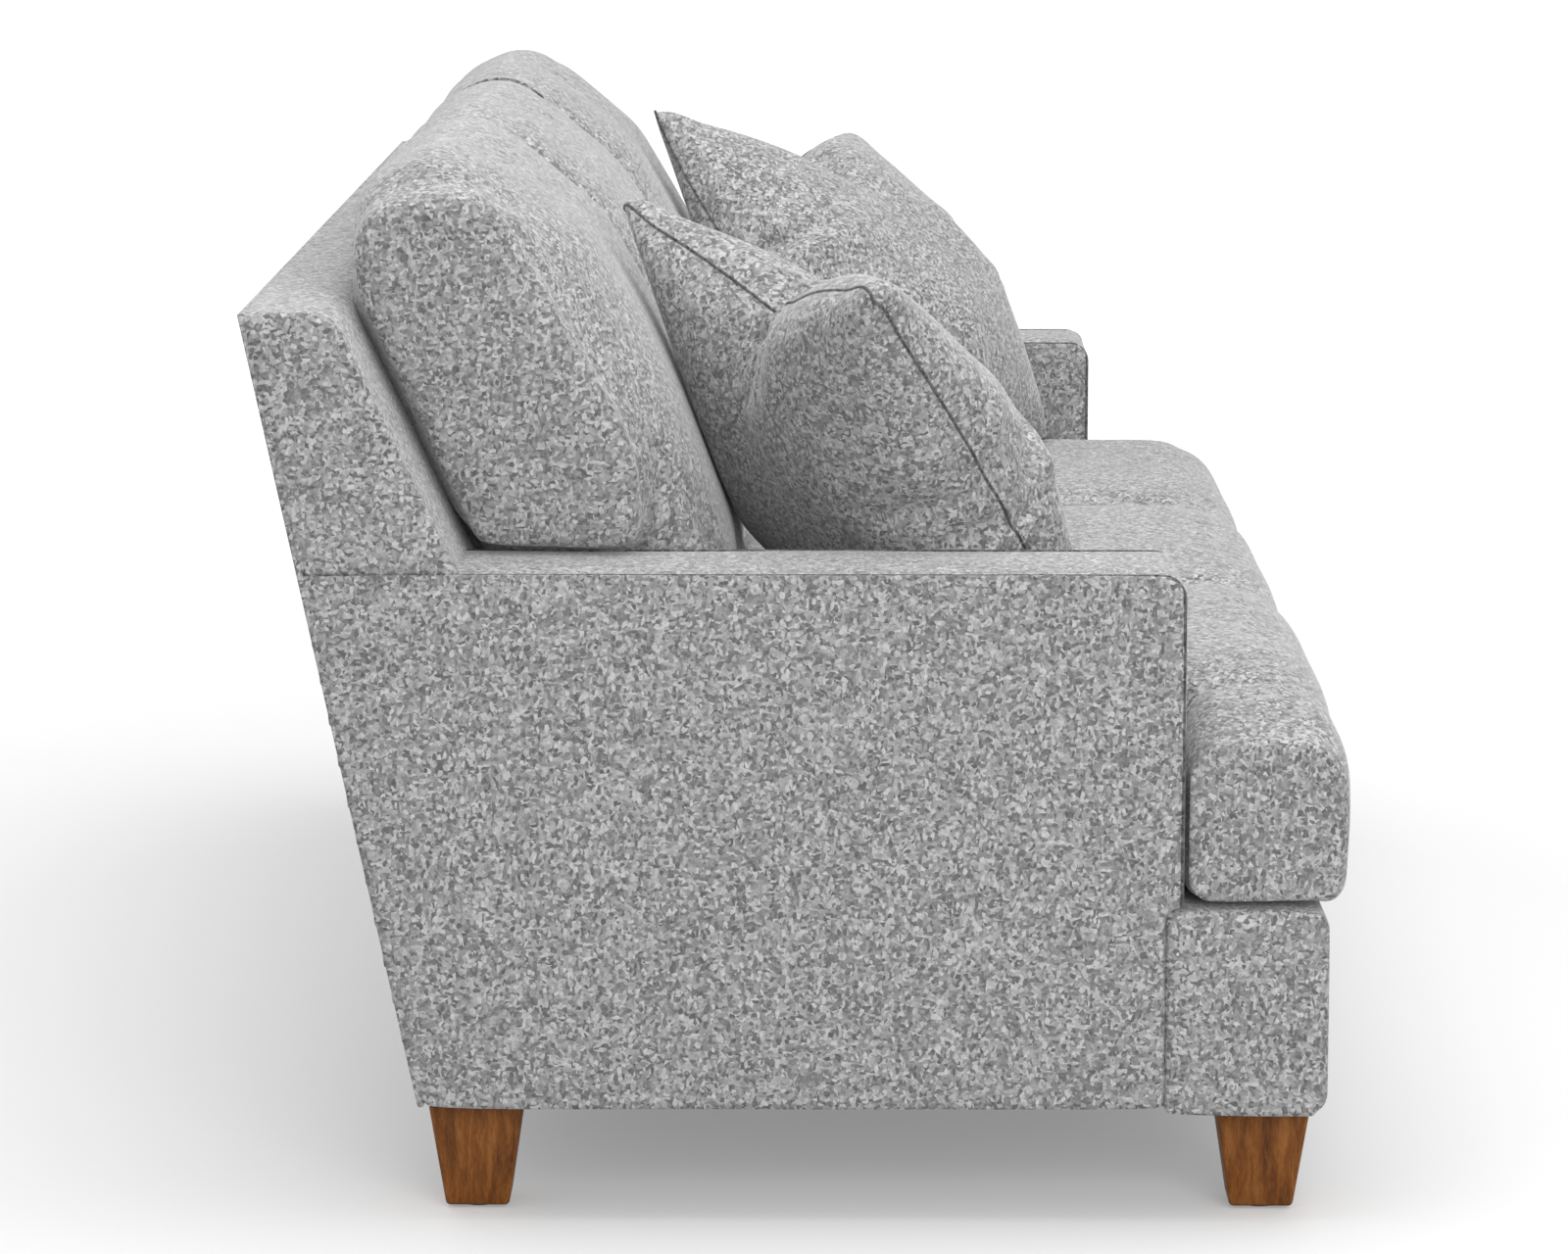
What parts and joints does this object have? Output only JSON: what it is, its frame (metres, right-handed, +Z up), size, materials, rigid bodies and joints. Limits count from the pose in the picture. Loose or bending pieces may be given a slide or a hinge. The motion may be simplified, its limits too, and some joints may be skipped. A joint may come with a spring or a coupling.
{
  "type": "three-seat sofa",
  "caption": "Upholstered sofa with track arms, a raked back, loose T-shaped seat and back cushions, throw pillows and tapered wooden legs.",
  "frame": {"origin": "on the floor, at the middle of the outline seen from above", "axes": "+Z up, the front faces -Y, +X to the right as seen from the front"},
  "size_m": [2.08, 1.0418, 1.0015],
  "materials": {
    "tweed": "coarse speckled tweed",
    "leg_wood": "satin stained hardwood",
    "frame_timber": "raw sawn timber and plywood",
    "back_board": "plain board",
    "steel": "plain steel",
    "webbing": "woven elastic webbing",
    "foam": "foam and fibre padding",
    "filling": "foam block and fibre filling",
    "lining": "black lining cloth",
    "glide": "black plastic"
  },
  "bodies": {
    "frame": {"front_rail": "frame_timber", "front_spring_rail": "frame_timber", "rear_spring_rail": "frame_timber", "rear_rail": "frame_timber", "seat_stretchers": "frame_timber", "corner_blocks": "frame_timber", "back_ribs": "frame_timber", "back_top_rail": "frame_timber", "side_rail_left": "frame_timber", "side_rail_right": "frame_timber", "arm_front_post_left": "frame_timber", "arm_front_post_right": "frame_timber", "arm_top_rail_left": "frame_timber", "arm_top_rail_right": "frame_timber", "arm_outer_board_left": "frame_timber", "arm_outer_board_right": "frame_timber", "arm_inner_board_left": "frame_timber", "arm_inner_board_right": "frame_timber", "back_post_left": "frame_timber", "back_post_right": "frame_timber", "outside_back_board": "back_board", "seat_springs": "steel", "spring_clips": "steel", "hanger_bolts": "steel", "tee_nuts": "steel", "back_webbing": "webbing", "deck_pad": "foam", "border_padding": "foam", "back_padding": "foam", "arm_padding_left": "foam", "arm_padding_right": "foam", "deck_cloth": "lining", "dust_cover": "lining", "border_cover": "tweed", "back_cover": "tweed", "outside_back_cover": "tweed", "arm_cover_left": "tweed", "arm_cover_right": "tweed", "leg_front_left": "leg_wood", "leg_front_right": "leg_wood", "leg_rear_left": "leg_wood", "leg_rear_right": "leg_wood", "glides": "glide"},
    "seat_left": {"seat_core_left": "filling", "seat_cover_left": "tweed"},
    "seat_middle": {"seat_core_middle": "filling", "seat_cover_middle": "tweed"},
    "seat_right": {"seat_core_right": "filling", "seat_cover_right": "tweed"},
    "back_left": {"back_fill_left": "filling", "back_cushion_cover_left": "tweed"},
    "back_middle": {"back_fill_middle": "filling", "back_cushion_cover_middle": "tweed"},
    "back_right": {"back_fill_right": "filling", "back_cushion_cover_right": "tweed"},
    "pillow_left": {"pillow_insert_left": "filling", "pillow_cover_left": "tweed"},
    "pillow_right": {"pillow_insert_right": "filling", "pillow_cover_right": "tweed"}
  },
  "joints": [
    {"name": "lift_seat_left", "type": "slide", "parent": "frame", "child": "seat_left", "axis": [0, 0, 1], "range_m": [0, 0.36]},
    {"name": "lift_seat_middle", "type": "slide", "parent": "frame", "child": "seat_middle", "axis": [0, 0, 1], "range_m": [0, 0.36]},
    {"name": "lift_seat_right", "type": "slide", "parent": "frame", "child": "seat_right", "axis": [0, 0, 1], "range_m": [0, 0.36]},
    {"name": "lift_back_left", "type": "slide", "parent": "seat_left", "child": "back_left", "axis": [0, 0.3907, 0.9205], "range_m": [0, 0.42]},
    {"name": "lift_back_middle", "type": "slide", "parent": "seat_middle", "child": "back_middle", "axis": [0, 0.3907, 0.9205], "range_m": [0, 0.42]},
    {"name": "lift_back_right", "type": "slide", "parent": "seat_right", "child": "back_right", "axis": [0, 0.3907, 0.9205], "range_m": [0, 0.42]},
    {"name": "lift_pillow_left", "type": "slide", "parent": "seat_left", "child": "pillow_left", "axis": [0, 0, 1], "range_m": [0, 0.45]},
    {"name": "lift_pillow_right", "type": "slide", "parent": "seat_right", "child": "pillow_right", "axis": [0, 0, 1], "range_m": [0, 0.45]}
  ]
}
